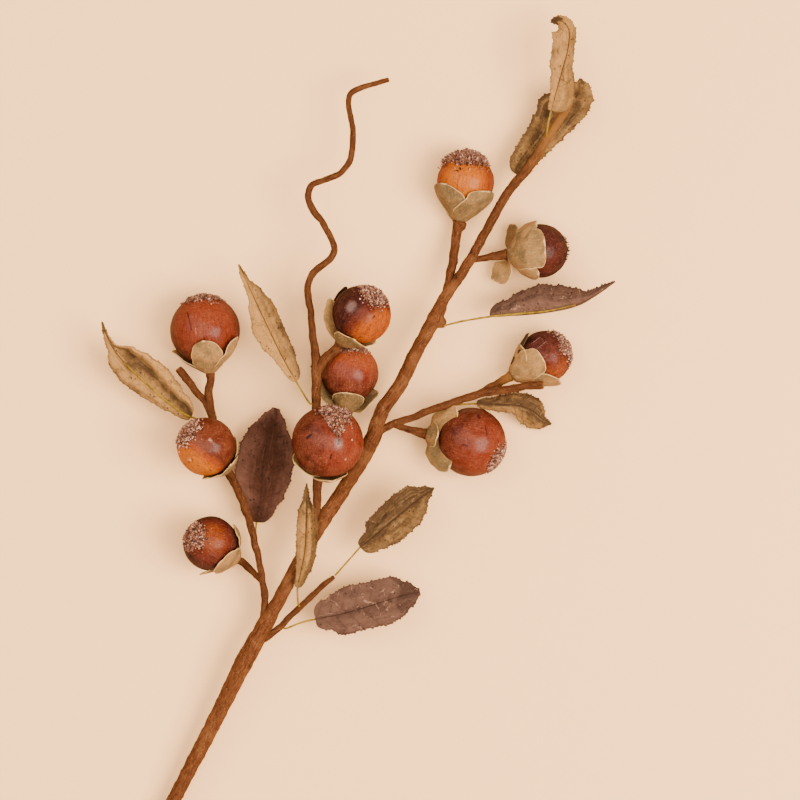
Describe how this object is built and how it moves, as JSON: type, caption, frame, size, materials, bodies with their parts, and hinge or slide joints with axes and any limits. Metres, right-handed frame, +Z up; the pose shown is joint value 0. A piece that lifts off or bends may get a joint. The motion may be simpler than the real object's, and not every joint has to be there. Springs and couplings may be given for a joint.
{
  "type": "dried fruit branch",
  "caption": "Cut woody branch lying flat, with forked twigs, round frosted fruits in lobed calyxes, and toothed leaves on thin stalks.",
  "frame": {"origin": "centre of the underside of the whole branch's box, on the surface that it lies on", "axes": "+Y along the branch from its cut end to its tip, +X to the side that the leaves with the long stalks point to, +Z up"},
  "size_m": [0.27, 0.4822, 0.0628],
  "materials": {
    "wood": "orange-brown bark like wound strips of crepe paper, matt, fine lengthwise fibres",
    "fruit_red": "brick-red dry rind, brushed lengthwise streaks, satin gloss, small dark pits",
    "fruit_orange": "orange dry rind shading to red-brown, brushed lengthwise streaks, satin gloss",
    "fruit_dark": "maroon dry rind shading to orange-brown, brushed lengthwise streaks, satin gloss",
    "frost": "coarse pinkish grey-brown frost grains, glittering",
    "calyx": "beige dry calyx, papery, matt, faint veins and pale edges",
    "leaf_tan": "tan dry leaf, papery, matt, veins and dark specks",
    "leaf_mauve": "mauve-brown dry leaf, papery, matt, veins and dark specks",
    "leaf_umber": "dark purple-brown dry leaf, smooth, dark specks",
    "leaf_stalk": "yellow-olive thin leaf stalk, satin"
  },
  "bodies": {
    "root": {"branch": "wood", "fruit_1": "fruit_red", "calyx_1": "calyx", "frost_1": "frost", "fruit_2": "fruit_orange", "calyx_2": "calyx", "frost_2": "frost", "fruit_3": "fruit_dark", "calyx_3": "calyx", "frost_3": "frost", "fruit_4": "fruit_red", "calyx_4": "calyx", "frost_4": "frost", "fruit_5": "fruit_red", "calyx_5": "calyx", "frost_5": "frost", "fruit_6": "fruit_dark", "calyx_6": "calyx", "frost_6": "frost", "fruit_7": "fruit_orange", "calyx_7": "calyx", "frost_7": "frost", "fruit_8": "fruit_dark", "calyx_8": "calyx", "frost_8": "frost", "fruit_9": "fruit_dark", "calyx_9": "calyx", "frost_9": "frost", "fruit_10": "fruit_red", "calyx_10": "calyx", "frost_10": "frost", "leaf_1": "leaf_tan", "leafstalk_1": "leaf_stalk", "leaf_2": "leaf_tan", "leafstalk_2": "leaf_stalk", "leaf_3": "leaf_umber", "leafstalk_3": "leaf_stalk", "leaf_4": "leaf_tan", "leafstalk_4": "leaf_stalk", "leaf_5": "leaf_tan", "leafstalk_5": "leaf_stalk", "leaf_6": "leaf_mauve", "leafstalk_6": "leaf_stalk", "leaf_7": "leaf_mauve", "leafstalk_7": "leaf_stalk", "leaf_8": "leaf_tan", "leafstalk_8": "leaf_stalk", "leaf_9": "leaf_tan", "leafstalk_9": "leaf_stalk", "leaf_10": "leaf_tan", "leafstalk_10": "leaf_stalk"}
  },
  "joints": []
}
